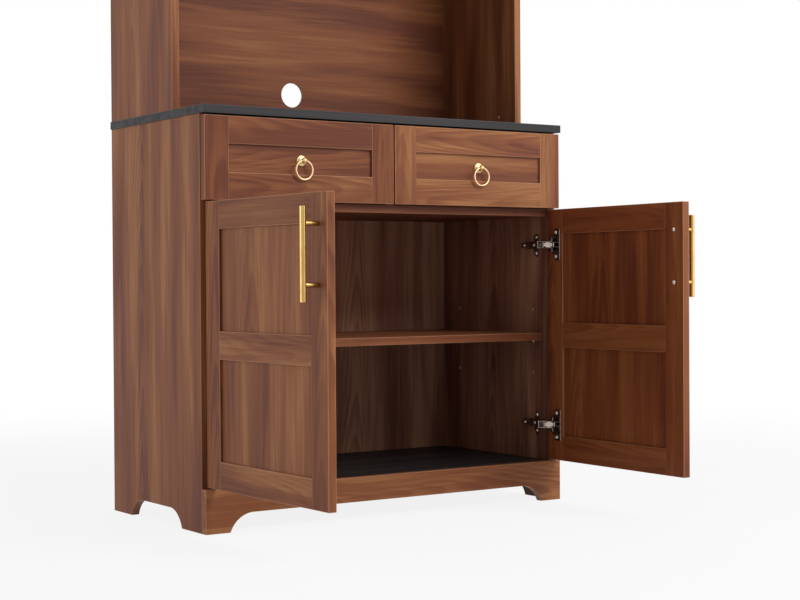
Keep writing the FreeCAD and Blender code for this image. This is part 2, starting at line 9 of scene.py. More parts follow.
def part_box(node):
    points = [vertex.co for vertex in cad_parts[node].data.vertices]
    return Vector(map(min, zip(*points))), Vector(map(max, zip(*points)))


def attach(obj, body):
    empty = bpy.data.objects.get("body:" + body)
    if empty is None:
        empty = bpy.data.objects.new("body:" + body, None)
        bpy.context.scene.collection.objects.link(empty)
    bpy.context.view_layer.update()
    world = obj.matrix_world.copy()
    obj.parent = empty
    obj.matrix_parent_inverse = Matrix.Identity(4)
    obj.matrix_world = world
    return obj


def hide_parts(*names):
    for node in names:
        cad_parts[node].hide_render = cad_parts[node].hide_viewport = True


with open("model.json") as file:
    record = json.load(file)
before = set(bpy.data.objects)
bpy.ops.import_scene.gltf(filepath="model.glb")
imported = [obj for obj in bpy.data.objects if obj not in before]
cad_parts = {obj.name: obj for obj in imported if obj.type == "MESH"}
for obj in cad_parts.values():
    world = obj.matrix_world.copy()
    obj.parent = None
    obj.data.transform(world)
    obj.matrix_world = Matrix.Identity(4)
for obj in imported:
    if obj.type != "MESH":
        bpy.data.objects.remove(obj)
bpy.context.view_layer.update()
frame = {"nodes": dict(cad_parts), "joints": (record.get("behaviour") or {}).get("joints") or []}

# Base side panels
# Two upright particle boards wrapped in walnut-print foil, sawn at the foot into two bracket feet with an
# arch between them. Pin holes with plastic collars are bored in their inner faces, and the other boards of
# the base are fixed to them.
ALONG_X, ALONG_Y, ALONG_Z = 0, 1, 2
UP = Vector((0, 0, 1))
RIGHT = Vector((1, 0, 0))
FORWARD = Vector((0, -1, 0))
board_ease = 0.0008
arris_width = 0.0016
overcut = 0.001
square_on = 0.9
arch_height = 0.033
arch_run = 0.047
side_foot = 0.0795
pin_hole_radius = 0.0026
pin_hole_depth = 0.010
pin_row_step = 0.064
pin_front_setback = 0.051
pin_rear_clear = 0.058
pin_drop = 0.0025
sleeve_radius = 0.0035
sleeve_proud = 0.0004
flame_round = 0.030
flame_taper = 0.06
flame_reach = 0.075
ring_pitch = 0.0056
flame_stray = 0.35
tone_stray = 0.018
ring_wander, ring_weight = 0.010, 0.30
sway_grain, sway_reach = (1.8, 6.0, 6.0), 0.007
ripple_grain, ripple_reach = (6.0, 34.0, 34.0), 0.0012
band_grain, band_weight = (1.6, 19.0, 19.0), 0.58
streak_grain, streak_weight = (4.5, 85.0, 85.0), 0.22
line_grain, line_weight = (8.0, 210.0, 210.0), 0.10
wander_grain = (2.2, 18.0, 18.0)
patch_grain = (1.6, 15.0, 15.0)
fibre_grain, fibre_weight = (9.0, 620.0, 620.0), 0.18
pore_grain, pore_weight = (32.0, 1200.0, 1200.0), 0.3
arris_highlight_weight = 0.6


def paint(red, green, blue):
    """A shader colour from the 0 to 255 values that a paint chart gives."""
    def linear(level):
        share = level / 255
        return share / 12.92 if share <= 0.04045 else ((share + 0.055) / 1.055) ** 2.4
    return (linear(red), linear(green), linear(blue), 1.0)


def lay(tree, kind, inputs=(), **settings):
    """A shader node with its settings, its inputs given as values or as other nodes' outputs."""
    node = tree.nodes.new(kind)
    for name, value in settings.items():
        setattr(node, name, value)
    for socket, value in dict(inputs).items():
        if isinstance(value, bpy.types.NodeSocket):
            tree.links.new(value, node.inputs[socket])
        else:
            node.inputs[socket].default_value = value
    return node


def stretched(tree, place, per_metre, detail=2.0):
    """Noise with so many features a metre along, across and through the board."""
    spread = lay(tree, "ShaderNodeVectorMath", {0: place, 1: per_metre}, operation="MULTIPLY")
    noise = lay(tree, "ShaderNodeTexNoise", {"Vector": spread.outputs[0], "Scale": 1.0, "Detail": detail})
    return noise.outputs[0]


def eased_range(tree, value, low, high, to_low=0.0, to_high=1.0):
    span = {"Value": value, "From Min": low, "From Max": high, "To Min": to_low, "To Max": to_high}
    return lay(tree, "ShaderNodeMapRange", span, interpolation_type="SMOOTHSTEP").outputs[0]


def reckon(tree, operation, first, second=0.0, third=0.0):
    return lay(tree, "ShaderNodeMath", {0: first, 1: second, 2: third}, operation=operation).outputs[0]


def mixed(tree, share, first, second, mode="MIX"):
    """Two colours mixed by a share from 0 to 1."""
    inputs = {0: share, 6: first, 7: second}
    return lay(tree, "ShaderNodeMix", inputs, data_type="RGBA", blend_type=mode).outputs[2]


def new_group(name, inputs, outputs):
    """An empty node group with its named sockets: the tree, its inputs and its outputs."""
    group = bpy.data.node_groups.new(name, "ShaderNodeTree")
    for socket, kind in inputs.items():
        group.interface.new_socket(socket, in_out="INPUT", socket_type="NodeSocket" + kind)
    for socket, kind in outputs.items():
        group.interface.new_socket(socket, in_out="OUTPUT", socket_type="NodeSocket" + kind)
    return group, lay(group, "NodeGroupInput").outputs, lay(group, "NodeGroupOutput").inputs


def walnut_figure():
    """The printed figure: long bands and streaks, growth rings that arch about the flame's middle line, then
    fibres and short pores, and last a painted highlight on the eased arrises. Grain gives the place along the
    grain, across from the flame, and through."""
    group, given, made = new_group(
        "walnut_figure",
        {"Grain": "Vector", "Tone": "Float", "Highlight Share": "Float",
         "Dark": "Color", "Middle": "Color", "Light": "Color", "Highlight Colour": "Color"},
        {"Color": "Color", "Roughness": "Float", "Height": "Float"},
    )
    grain = given["Grain"]
    swaying = stretched(group, grain, sway_grain, 1.0)
    sway = eased_range(group, swaying, 0.25, 0.75, -sway_reach, sway_reach)
    rippling = stretched(group, grain, ripple_grain, 1.0)
    ripple = eased_range(group, rippling, 0.25, 0.75, -ripple_reach, ripple_reach)
    axes = lay(group, "ShaderNodeSeparateXYZ", {0: grain}).outputs
    across = reckon(group, "ADD", axes["Y"], reckon(group, "ADD", sway, ripple))
    bent = lay(group, "ShaderNodeCombineXYZ", {"X": axes["X"], "Y": across, "Z": axes["Z"]}).outputs[0]
    bands = eased_range(group, stretched(group, bent, band_grain, 1.5), 0.32, 0.68)
    streaks = eased_range(group, stretched(group, bent, streak_grain, 1.5), 0.3, 0.7)
    lines = eased_range(group, stretched(group, bent, line_grain, 1.5), 0.3, 0.7)
    from_flame = reckon(group, "SQRT", reckon(group, "MULTIPLY_ADD", across, across, flame_round ** 2))
    wander = eased_range(group, stretched(group, bent, wander_grain, 1.0), 0.25, 0.75, 0.0, ring_wander)
    ring_start = reckon(group, "ADD", from_flame, wander)
    ring_place = reckon(group, "MULTIPLY_ADD", axes["X"], flame_taper, ring_start)
    ring = reckon(group, "FRACT", reckon(group, "DIVIDE", ring_place, ring_pitch))
    ring_end = eased_range(group, ring, 0.84, 1.0)
    late_wood = reckon(group, "SUBTRACT", eased_range(group, ring, 0.1, 0.8), ring_end)
    patches = eased_range(group, stretched(group, bent, patch_grain, 1.0), 0.36, 0.62)
    near_flame = eased_range(group, from_flame, flame_round, flame_reach, 1.0, 0.0)
    clear = reckon(group, "MULTIPLY", patches, near_flame)
    tone = reckon(group, "MULTIPLY_ADD", bands, band_weight, given["Tone"])
    tone = reckon(group, "MULTIPLY_ADD", streaks, streak_weight, tone)
    tone = reckon(group, "MULTIPLY_ADD", lines, line_weight, tone)
    ring_shade = reckon(group, "MULTIPLY", reckon(group, "SUBTRACT", 0.45, late_wood), clear)
    tone = reckon(group, "MULTIPLY_ADD", ring_shade, ring_weight, tone)
    shade = mixed(group, eased_range(group, tone, 0.07, 0.49), given["Dark"], given["Middle"])
    shade = mixed(group, eased_range(group, tone, 0.45, 0.92), shade, given["Light"])
    fibre = eased_range(group, stretched(group, grain, fibre_grain), 0.3, 0.7)
    pore = eased_range(group, stretched(group, grain, pore_grain, 1.0), 0.6, 0.72)
    fibre_shade = reckon(group, "MULTIPLY_ADD", fibre, fibre_weight, 1.0 - fibre_weight / 2)
    shade = mixed(group, 1.0, shade, fibre_shade, "MULTIPLY")
    shade = mixed(group, reckon(group, "MULTIPLY", pore, pore_weight), shade, given["Dark"])
    # painted highlight: the narrow faces of the eased arrises are mixed towards a paler colour
    shade = mixed(group, reckon(group, "MULTIPLY", given["Highlight Share"], arris_highlight_weight), shade, given["Highlight Colour"])
    group.links.new(shade, made["Color"])
    group.links.new(eased_range(group, fibre, 0.0, 1.0, 0.5, 0.4), made["Roughness"])
    group.links.new(reckon(group, "SUBTRACT", fibre, pore), made["Height"])
    return group


def new_finish(name):
    """A new material: itself, its node tree and its surface shader."""
    material = bpy.data.materials.new(name)
    material.use_nodes = True
    return material, material.node_tree, material.node_tree.nodes["Principled BSDF"]


def set_relief(tree, surface, height, strength, depth):
    relief = lay(tree, "ShaderNodeBump", {"Strength": strength, "Distance": depth, "Height": height})
    tree.links.new(relief.outputs[0], surface.inputs["Normal"])


def walnut_finish(name, dark, middle, light, highlight_colour):
    material, tree, surface = new_finish(name)
    grain = lay(tree, "ShaderNodeAttribute", attribute_name="grain")
    tone = lay(tree, "ShaderNodeAttribute", attribute_name="tone")
    edge = lay(tree, "ShaderNodeAttribute", attribute_name="edge")
    colours = {"Dark": dark, "Middle": middle, "Light": light, "Highlight Colour": highlight_colour}
    places = {"Grain": grain.outputs["Vector"], "Tone": tone.outputs["Fac"], "Highlight Share": edge.outputs["Fac"]}
    figure = lay(tree, "ShaderNodeGroup", {**places, **colours}, node_tree=walnut_print)
    tree.links.new(figure.outputs["Color"], surface.inputs["Base Color"])
    tree.links.new(figure.outputs["Roughness"], surface.inputs["Roughness"])
    surface.inputs["Specular IOR Level"].default_value = 0.12
    set_relief(tree, surface, figure.outputs["Height"], 0.12, 0.0002)
    return material


def raw_board_finish():
    """Pressed wood chips, as the saw leaves them."""
    material, tree, surface = new_finish("raw_board")
    place = lay(tree, "ShaderNodeTexCoord").outputs["Object"]
    chips = lay(tree, "ShaderNodeTexVoronoi", {"Vector": place, "Scale": 700.0})
    shade = mixed(tree, chips.outputs["Distance"], paint(196, 164, 122), paint(138, 104, 68))
    tree.links.new(shade, surface.inputs["Base Color"])
    surface.inputs["Roughness"].default_value = 0.85
    set_relief(tree, surface, chips.outputs["Distance"], 0.5, 0.0004)
    return material


walnut_print = walnut_figure()
# the paler colour painted on the eased arrises as a highlight
arris_highlight_colour = paint(186, 138, 106)
walnut = walnut_finish("walnut_foil", dark=paint(102, 57, 40), middle=paint(126, 75, 48),
                       light=paint(152, 102, 65), highlight_colour=arris_highlight_colour)
# a lighter, greyer copy of the walnut, painted for the shaded inside of the cupboard
painted_shade_inside_walnut = walnut_finish("walnut_foil_inside", dark=paint(108, 70, 56), middle=paint(140, 96, 77),
                              light=paint(170, 126, 100), highlight_colour=arris_highlight_colour)
raw_board = raw_board_finish()


def block(low, high):
    shape = bmesh.new()
    bmesh.ops.create_cube(shape, size=1.0)
    bmesh.ops.scale(shape, vec=high - low, verts=shape.verts)
    bmesh.ops.translate(shape, vec=(low + high) / 2, verts=shape.verts)
    return shape


def rod(start, direction, radius, length, sides=32):
    shape = bmesh.new()
    bmesh.ops.create_cone(shape, cap_ends=True, segments=sides, radius1=radius, radius2=radius, depth=length)
    turn = UP.rotation_difference(direction).to_matrix().to_4x4()
    middle = Matrix.Translation(start + direction * (length / 2))
    bmesh.ops.transform(shape, matrix=middle @ turn, verts=shape.verts)
    return shape


def round_edges(shape, edges, offset, segments=2):
    bmesh.ops.bevel(
        shape, geom=edges, offset=offset, segments=segments, profile=0.5, affect="EDGES", material=-1
    )
    return shape


def eased_board(low, high, ease=board_ease):
    """A board whose arrises are taken off."""
    shape = block(low, high)
    return round_edges(shape, shape.edges[:], ease)


def add_shape(whole, shape, place=Matrix.Identity(4)):
    """Puts a copy of a shape into another at a place."""
    copy = bpy.data.meshes.new("copy")
    shape.to_mesh(copy)
    copy.transform(place)
    if place.determinant() < 0:
        copy.flip_normals()
    whole.from_mesh(copy)
    bpy.data.meshes.remove(copy)


def gathered(shapes):
    whole = bmesh.new()
    for shape in shapes:
        add_shape(whole, shape)
        shape.free()
    return whole


def cut_away(shape, tools):
    """Drills or saws the tools out of a shape. Cut faces get the second material."""
    tool = gathered(tools)
    for face in tool.faces:
        face.material_index = 1
    loose = []
    for part in (shape, tool):
        mesh = bpy.data.meshes.new("cutting")
        part.to_mesh(mesh)
        part.free()
        mesh.materials.append(None)
        mesh.materials.append(None)
        loose.append(bpy.data.objects.new("cutting", mesh))
        bpy.context.scene.collection.objects.link(loose[-1])
    saw = loose[0].modifiers.new("saw", "BOOLEAN")
    saw.operation = "DIFFERENCE"
    saw.solver = "EXACT"
    saw.use_self = True
    saw.object = loose[1]
    sawn = bpy.data.meshes.new_from_object(loose[0].evaluated_get(bpy.context.evaluated_depsgraph_get()))
    result = bmesh.new()
    result.from_mesh(sawn)
    for item in loose:
        mesh = item.data
        bpy.data.objects.remove(item)
        bpy.data.meshes.remove(mesh)
    bpy.data.meshes.remove(sawn)
    return result


def lay_grain(shape, along, name, tone=0.0):
    """Gives each point its place in the foil's figure, and marks the narrow faces of the eased arrises, where
    a highlight is painted.
    """
    spans = [[min(vert.co[axis] for vert in shape.verts), max(vert.co[axis] for vert in shape.verts)]
             for axis in (ALONG_X, ALONG_Y, ALONG_Z)]
    others = [axis for axis in (ALONG_X, ALONG_Y, ALONG_Z) if axis != along]
    others.sort(key=lambda axis: spans[axis][0] - spans[axis][1])
    draw = random.Random(name)
    near, far = spans[others[0]]
    flame = (near + far) / 2 + (far - near) * draw.uniform(-flame_stray, flame_stray)
    start = Vector((draw.uniform(0, 9), -flame, draw.uniform(0, 9)))
    board_tone = draw.uniform(-tone_stray, tone_stray)
    places = shape.verts.layers.float_vector.new("grain")
    tones = shape.verts.layers.float.new("tone")
    for vert in shape.verts:
        vert[places] = start + Vector([vert.co[axis] for axis in [along] + others])
        vert[tones] = tone + board_tone
    edges = shape.faces.layers.float.new("edge")
    for face in shape.faces:
        width = face.calc_area() / max(edge.calc_length() for edge in face.edges)
        face[edges] = 1.0 if width < arris_width else 0.0
    return shape


def make_piece(name, shape, materials, body, slot, *nodes, crease=50):
    """A finished piece of the object, which rides on a body and stands for CAD nodes."""
    mesh = bpy.data.meshes.new(name)
    shape.to_mesh(mesh)
    shape.free()
    mesh.shade_smooth()
    mesh.set_sharp_from_angle(angle=math.radians(crease))
    for material in materials:
        mesh.materials.append(material)
    piece = bpy.data.objects.new(name, mesh)
    bpy.context.scene.collection.objects.link(piece)
    even = piece.modifiers.new("even_normals", "WEIGHTED_NORMAL")
    even.keep_sharp = True
    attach(piece, body)
    if nodes:
        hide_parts(*nodes)
    return piece


def wooden(name, shape, along, *nodes, body="carcass", tone=0.0):
    lay_grain(shape, along, name, tone)
    return make_piece(name, shape, [walnut, raw_board, painted_shade_inside_walnut], body, "walnut", *nodes)


def footed_board(low, high, along, foot):
    """A board with an arch sawn out between its two feet and its arrises taken off. Each corner of the arch
    is a round that runs level into its top."""
    through = ALONG_X + ALONG_Y - along
    radius = (arch_run ** 2 + arch_height ** 2) / (2 * arch_height)
    ends = (low[along] + foot + arch_run, high[along] - foot - arch_run)
    direction = Vector((0, 0, 0))
    direction[through] = 1.0
    length = high[through] - low[through] + 2 * overcut
    tools = []
    for end in ends:
        start = Vector((0, 0, arch_height - radius))
        start[along], start[through] = end, low[through] - overcut
        tools.append(rod(start, direction, radius, length, 200))
    level_low, level_high = Vector((0, 0, -overcut)), Vector((0, 0, arch_height))
    level_low[along], level_high[along] = ends
    level_low[through], level_high[through] = low[through] - overcut, high[through] + overcut
    shape = cut_away(block(low, high), tools + [block(level_low, level_high)])
    for face in shape.faces:
        face.material_index = 0
    arrises = [edge for edge in shape.edges if edge.calc_face_angle(0) > math.radians(45)]
    return round_edges(shape, arrises, board_ease)


def turned(profile, steps=48, closed=False):
    """A lathe-turned shape about the vertical, from its half outline given as radii and heights."""
    shape = bmesh.new()
    points = [shape.verts.new((radius, 0, height)) for radius, height in profile]
    ends = points[1:] + points[:1] if closed else points[1:]
    lines = [shape.edges.new(pair) for pair in zip(points, ends)]
    bmesh.ops.spin(shape, geom=points + lines, cent=(0, 0, 0), axis=UP, angle=math.tau, steps=steps,
                   use_merge=True)
    bmesh.ops.remove_doubles(shape, verts=shape.verts, dist=0.000001)
    bmesh.ops.recalc_face_normals(shape, faces=shape.faces)
    return shape


def facing(seat, direction):
    """The place of a turned piece whose foot stands on seat and whose top looks along direction."""
    return Matrix.Translation(seat) @ UP.rotation_difference(direction).to_matrix().to_4x4()


def pin_places(side_low, inner_x, shelf_node, back_node):
    """The mouths of the shelf-pin holes in one side panel, in two rows of three."""
    shelf_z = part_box(shelf_node)[0].z - pin_drop
    rows = [side_low.y + pin_front_setback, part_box(back_node)[0].y - pin_rear_clear]
    return [Vector((inner_x, y, shelf_z + step * pin_row_step)) for y in rows for step in (-1, 0, 1)]


def pin_drills(places, drill):
    depth = pin_hole_depth + overcut
    return [rod(place - drill * overcut, drill, pin_hole_radius, depth) for place in places]


def add_sleeves(name, places, drill):
    """Thin plastic collars round the mouths of the pin holes."""
    collar = turned([(pin_hole_radius, 0), (sleeve_radius, 0), (sleeve_radius, sleeve_proud * 0.5),
                     (sleeve_radius - sleeve_proud * 0.5, sleeve_proud), (pin_hole_radius, sleeve_proud)],
                    24, closed=True)
    collars = bmesh.new()
    for place in places:
        add_shape(collars, collar, facing(place, -drill))
    collar.free()
    return make_piece(name, collars, [pale_plastic], "carcass", "walnut")


pale_plastic, tree, surface = new_finish("pale_plastic")
place = lay(tree, "ShaderNodeTexCoord").outputs["Object"]
shade = mixed(tree, stretched(tree, place, (900.0, 900.0, 900.0)), paint(206, 182, 158), paint(176, 146, 120))
tree.links.new(shade, surface.inputs["Base Color"])
surface.inputs["Roughness"].default_value = 0.45
for side, drill in (("left", -RIGHT), ("right", RIGHT)):
    node = "base_%s_side" % side
    low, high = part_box(node)
    inner_x = high.x if side == "left" else low.x
    mouths = pin_places(low, inner_x, "base_shelf", "base_back_panel")
    shape = cut_away(footed_board(low, high, ALONG_Y, side_foot), pin_drills(mouths, drill))
    # the inner faces get the walnut copy painted for the cupboard's shaded inside
    for face in shape.faces:
        if face.material_index == 0 and face.normal.dot(drill) < -square_on:
            face.material_index = 2
    wooden("base_%s_side_board" % side, shape, ALONG_Z, node)
    add_sleeves("base_%s_pin_sleeves" % side, mouths, drill)

# Front apron
# The board across the foot of the base, foil-wrapped like the sides and sawn into the two front feet. It is
# dowelled to the front edges of the side panels, with its grain running across.
apron_foot = 0.0485
# the apron's foil is drawn lighter than the rest, as painted light on the front feet
apron_painted_light = 0.40
low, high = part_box("front_apron")
wooden("front_apron_board", footed_board(low, high, ALONG_X, apron_foot), ALONG_X, "front_apron",
       tone=apron_painted_light)

# Bottom panel
# The cupboard's floor, a board faced with black laminate and dowelled between the side panels. The laminate
# is matte, with a fine print of pale streaks, and its eased arrises are painted paler as a highlight.
laminate_black = paint(22, 20, 21)
laminate_grey = paint(42, 39, 39)
laminate_arris_highlight = paint(84, 84, 88)
laminate_streak_grain = (1.5, 60.0, 60.0)
laminate_tooth_grain = (1400.0, 1400.0, 1400.0)


def laminate_finish():
    material, tree, surface = new_finish("black_laminate")
    grain = lay(tree, "ShaderNodeAttribute", attribute_name="grain").outputs["Vector"]
    edge = lay(tree, "ShaderNodeAttribute", attribute_name="edge").outputs["Fac"]
    streaks = eased_range(tree, stretched(tree, grain, laminate_streak_grain, 3.0), 0.3, 0.75)
    tooth = stretched(tree, grain, laminate_tooth_grain, 1.0)
    shade = mixed(tree, streaks, laminate_black, laminate_grey)
    # painted highlight: the eased arrises are mixed towards a paler grey
    shade = mixed(tree, reckon(tree, "MULTIPLY", edge, 0.4), shade, laminate_arris_highlight)
    tree.links.new(shade, surface.inputs["Base Color"])
    tree.links.new(eased_range(tree, streaks, 0.0, 1.0, 0.56, 0.46), surface.inputs["Roughness"])
    surface.inputs["Specular IOR Level"].default_value = 0.25
    set_relief(tree, surface, tooth, 0.05, 0.00005)
    return material


black_laminate = laminate_finish()


def laminated(name, node, ease):
    shape = lay_grain(eased_board(*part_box(node), ease), ALONG_X, name)
    return make_piece(name, shape, [black_laminate], "carcass", "black_laminate", node)


laminated("base_bottom_board", "base_bottom_panel", board_ease)

# Back of the base
# A thin pressed fibreboard, let into grooves in the side panels. Its front gets the lighter, greyer copy of
# the walnut painted for the shaded inside of the cupboard, and its rear is left bare.
back_ease = 0.0003


def bare_fibreboard_finish():
    """The smooth brown rear of a thin pressed board."""
    material, tree, surface = new_finish("bare_fibreboard")
    place = lay(tree, "ShaderNodeTexCoord").outputs["Object"]
    clouds = stretched(tree, place, (14.0, 14.0, 14.0), 4.0)
    specks = eased_range(tree, stretched(tree, place, (520.0, 520.0, 520.0), 2.0), 0.35, 0.65)
    shade = mixed(tree, clouds, paint(120, 88, 60), paint(158, 122, 88))
    shade = mixed(tree, reckon(tree, "MULTIPLY", specks, 0.25), shade, paint(96, 68, 44))
    tree.links.new(shade, surface.inputs["Base Color"])
    tree.links.new(eased_range(tree, specks, 0.0, 1.0, 0.62, 0.8), surface.inputs["Roughness"])
    return material


bare_fibreboard = bare_fibreboard_finish()


def bare_rear(shape):
    """The faces that look backwards get the second material."""
    for face in shape.faces:
        if face.normal.y > square_on:
            face.material_index = 1
    return shape


def back_board(name, node, along, front, tools=(), tone=0.0):
    shape = eased_board(*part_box(node), back_ease)
    if tools:
        shape = cut_away(shape, tools)
    lay_grain(bare_rear(shape), along, name, tone)
    return make_piece(name, shape, [front, bare_fibreboard], "carcass", "walnut", node)


back_board("base_back_board", "base_back_panel", ALONG_Z, painted_shade_inside_walnut)

# Drawer deck and partition
# The deck closes the cupboard under the drawers, and the partition stands on it between them. Both are
# foil-wrapped boards with dowelled ends.
# the deck's foil is drawn darker, as painted shade for the shadow the drawer fronts cast on its edge
deck_painted_shade = -0.35
deck = eased_board(*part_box("drawer_deck"), back_ease)
wooden("drawer_deck_board", deck, ALONG_X, "drawer_deck", tone=deck_painted_shade)
wooden("drawer_partition_board", eased_board(*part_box("drawer_partition")), ALONG_Y, "drawer_partition")

# Runner channels
# Channels folded from zinc-plated steel strip, two for each drawer. They are fixed to the side panels and to
# the partition, and the rails of the drawers run in them.
cloud_grain = (45.0, 45.0, 45.0)
drawn_line_grain = (1800.0, 1800.0, 40.0)


def metal_marks():
    """Handling marks on plated metal: faint clouds and fine drawn lines."""
    group, given, made = new_group(
        "metal_marks",
        {"Place": "Vector", "Clean": "Color", "Marked": "Color", "Smooth": "Float", "Rough": "Float"},
        {"Color": "Color", "Roughness": "Float", "Height": "Float"},
    )
    clouds = eased_range(group, stretched(group, given["Place"], cloud_grain, 2.0), 0.3, 0.75)
    lines = stretched(group, given["Place"], drawn_line_grain, 2.0)
    share = reckon(group, "MULTIPLY", clouds, lines)
    group.links.new(mixed(group, share, given["Clean"], given["Marked"]), made["Color"])
    span = reckon(group, "SUBTRACT", given["Rough"], given["Smooth"])
    gain = reckon(group, "MULTIPLY", clouds, span)
    group.links.new(reckon(group, "ADD", gain, given["Smooth"]), made["Roughness"])
    group.links.new(lines, made["Height"])
    return group


marked_metal = metal_marks()


def metal_finish(name, clean, marked, smooth, rough, metallic=1.0):
    material, tree, surface = new_finish(name)
    place = lay(tree, "ShaderNodeTexCoord").outputs["Object"]
    values = {"Place": place, "Clean": clean, "Marked": marked, "Smooth": smooth, "Rough": rough}
    marks = lay(tree, "ShaderNodeGroup", values, node_tree=marked_metal)
    tree.links.new(marks.outputs["Color"], surface.inputs["Base Color"])
    tree.links.new(marks.outputs["Roughness"], surface.inputs["Roughness"])
    surface.inputs["Metallic"].default_value = metallic
    set_relief(tree, surface, marks.outputs["Height"], 0.02, 0.00003)
    return material


def dress(node, material):
    """A CAD node that stays in view gets a finish."""
    mesh = frame["nodes"][node].data
    mesh.materials.clear()
    mesh.materials.append(material)


runner_zinc = metal_finish("runner_zinc", paint(186, 188, 190), paint(140, 142, 146), 0.3, 0.46)
dress("runner_channels", runner_zinc)

# Base shelf and shelf pins
# A loose foil-wrapped board, with its grain across. It lies on four nickel-plated steel pins that are pushed
# into the side panels' holes, and the upper cupboard's shelf has the same pins.
pin_nickel = metal_finish("pin_nickel", paint(214, 208, 198), paint(160, 152, 142), 0.18, 0.34)
shelf_tone = 0.12
wooden("base_shelf_board", eased_board(*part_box("base_shelf")), ALONG_X, "base_shelf", tone=shelf_tone)
dress("shelf_pins", pin_nickel)

# Countertop
# A board faced and edged with the same black laminate. It lies on the sides and the partition and stands a
# little proud of the fronts, with its edges eased by hand.
counter_ease = 0.0011
laminated("countertop_board", "countertop", counter_ease)

# Hutch sides
# Two foil-wrapped boards that stand on the counter, bored for the upper shelf's pins. A small plastic cap
# hides the screw at the foot of each.
cap_radius = 0.0031
cap_thick = 0.0009
cap_y = -0.024
cap_above_counter = 0.0305
cap_profile = [(0, 0), (cap_radius, 0), (cap_radius, cap_thick * 0.5), (cap_radius * 0.8, cap_thick),
               (0, cap_thick)]
cap = turned(cap_profile, 24)
caps = bmesh.new()
for side, drill in (("left", -RIGHT), ("right", RIGHT)):
    node = "hutch_%s_side" % side
    low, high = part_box(node)
    inner_x = high.x if side == "left" else low.x
    mouths = pin_places(low, inner_x, "cupboard_shelf", "hutch_back_panel")
    shape = cut_away(eased_board(low, high), pin_drills(mouths, drill))
    wooden("hutch_%s_side_board" % side, shape, ALONG_Z, node)
    add_sleeves("hutch_%s_pin_sleeves" % side, mouths, drill)
    add_shape(caps, cap, facing(Vector((inner_x, cap_y, low.z + cap_above_counter)), -drill))
cap.free()
make_piece("hutch_screw_caps", caps, [pale_plastic], "carcass", "walnut")

# Hutch back
# A thin printed fibreboard in the side panels' grooves, bare behind like that of the base. Its grain runs
# across, and a round hole for cables is sawn through it above the counter.
cable_hole_radius = 0.025
cable_hole_above = 0.074
hutch_back_tone = -0.12
low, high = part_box("hutch_back_panel")
hole_start = Vector((0, high.y + overcut, low.z + cable_hole_above))
cable_drill = rod(hole_start, FORWARD, cable_hole_radius, high.y - low.y + 2 * overcut, 64)
back_board("hutch_back_board", "hutch_back_panel", ALONG_X, walnut, [cable_drill], hutch_back_tone)

# Upper cupboard
# A floor dowelled between the hutch's sides, a loose shelf on pins, and a top of black laminate that caps the
# sides as the counter caps the base.
wooden("cupboard_floor_board", eased_board(*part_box("cupboard_floor")), ALONG_X, "cupboard_floor")
wooden("cupboard_shelf_board", eased_board(*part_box("cupboard_shelf")), ALONG_X, "cupboard_shelf")
laminated("hutch_top_board", "hutch_top_panel", counter_ease)

# Hinge plates and arms
# Pressed steel plates in dark nickel, each screwed to a side panel by two zinc-plated screws, with a folded
# arm clipped over it. Two cross-slotted screws in each arm set the door.
dark_nickel_and_groove_shade = metal_finish("dark_nickel_and_groove_shade", paint(164, 152, 144), paint(118, 108, 100), 0.18, 0.32)
# a paler nickel for the link ribs, a painted highlight on them
rib_highlight_nickel = metal_finish("rib_highlight_nickel", paint(212, 194, 184), paint(174, 156, 146), 0.4, 0.55)
screw_zinc = metal_finish("screw_zinc", paint(240, 230, 222), paint(204, 194, 186), 0.3, 0.45)
dress("hinge_plates", dark_nickel_and_groove_shade)
dress("hinge_arms", dark_nickel_and_groove_shade)
hinge_from_end = 0.070
plate_thick = 0.002
plate_setback = 0.037
plate_screw_reach = 0.016
arm_height = 0.013
arm_screw_setbacks = (0.031, 0.062)
dome_start = 0.25


def slotted_screw(radius, head, shank_radius, shank):
    """A pan-headed screw standing head up on z = 0, with a cross pressed into its head."""
    dome = [(radius * math.cos(turn), head * (dome_start + (1 - dome_start) * math.sin(turn)))
            for turn in (math.radians(step * 15) for step in range(6))]
    profile = [(0, -shank), (shank_radius, -shank + shank_radius), (shank_radius, 0), (radius, 0)]
    profile += dome + [(0, head)]
    arm, wing, depth = radius * 0.62, radius * 0.13, head * 0.65
    tools = [block(Vector((-arm, -wing, head - depth)), Vector((arm, wing, head * 2))),
             block(Vector((-wing, wing * 1.01, head - depth)), Vector((wing, arm, head * 2))),
             block(Vector((-wing, -arm, head - depth)), Vector((wing, -wing * 1.01, head * 2)))]
    shape = cut_away(turned(profile, 24), tools)
    for face in shape.faces:
        face.material_index = 0
    return shape


plate_screw = slotted_screw(radius=0.0039, head=0.0020, shank_radius=0.002, shank=0.012)
arm_screw = slotted_screw(radius=0.0034, head=0.0014, shank_radius=0.0018, shank=0.001)
plate_screws, arm_screws = bmesh.new(), bmesh.new()
for level in ("base", "hutch"):
    front_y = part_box(level + "_left_side")[0].y
    door_low, door_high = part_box(level + "_left_door_frame")
    for z in (door_low.z + hinge_from_end, door_high.z - hinge_from_end):
        for sign in (-1, 1):
            inner_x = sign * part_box(level + "_right_side")[0].x
            seat_x = inner_x - sign * plate_thick
            for reach in (-plate_screw_reach, plate_screw_reach):
                seat = Vector((seat_x, front_y + plate_setback, z + reach))
                add_shape(plate_screws, plate_screw, facing(seat, RIGHT * -sign))
            for setback in arm_screw_setbacks:
                seat = Vector((inner_x - sign * arm_height, front_y + setback, z))
                add_shape(arm_screws, arm_screw, facing(seat, RIGHT * -sign))
make_piece("hinge_plate_screws", plate_screws, [screw_zinc], "carcass", "screw_steel", "hinge_screws")
make_piece("hinge_arm_screws", arm_screws, [screw_zinc], "carcass", "screw_steel")

